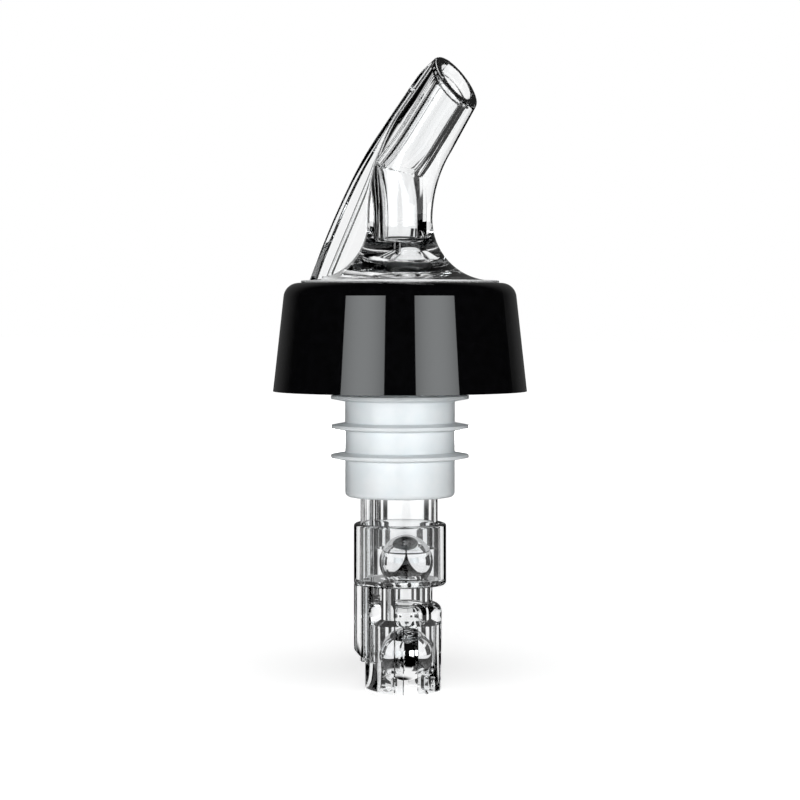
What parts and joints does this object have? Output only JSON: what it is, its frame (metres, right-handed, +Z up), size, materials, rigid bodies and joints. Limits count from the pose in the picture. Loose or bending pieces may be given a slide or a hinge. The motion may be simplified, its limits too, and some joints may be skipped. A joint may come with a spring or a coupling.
{
  "type": "measured liquor pourer",
  "caption": "Clear leaning pouring spout on a black collar, with a finned bottle stopper, a metering cup and ball valves below that stop each pour.",
  "frame": {"origin": "on the stopper's axis, in the plane of the collar roof's underside, where a bottle's lip stops", "axes": "+Z up along the stopper's axis, +X the way the spout leans"},
  "size_m": [0.0424, 0.0422, 0.1052],
  "materials": {
    "clear_plastic": "clear polished",
    "collar_plastic": "gloss",
    "stopper_rubber": "translucent satin",
    "steel_balls": "polished"
  },
  "bodies": {
    "pourer": {"pouring_spout": "clear_plastic", "collar_cap": "collar_plastic", "stopper": "stopper_rubber", "measuring_tube": "clear_plastic", "breather_tube": "clear_plastic", "metering_cup": "clear_plastic", "ball_cage": "clear_plastic"},
    "timing_ball": {"timing_ball": "steel_balls"},
    "check_ball": {"check_ball": "steel_balls"}
  },
  "joints": [
    {"name": "timing_ball_slide", "type": "slide", "parent": "pourer", "child": "timing_ball", "axis": [0, 0, 1], "range_m": [0, 0.0459]},
    {"name": "check_ball_slide", "type": "slide", "parent": "pourer", "child": "check_ball", "axis": [0, 0, 1], "range_m": [0, 0.00225]}
  ]
}
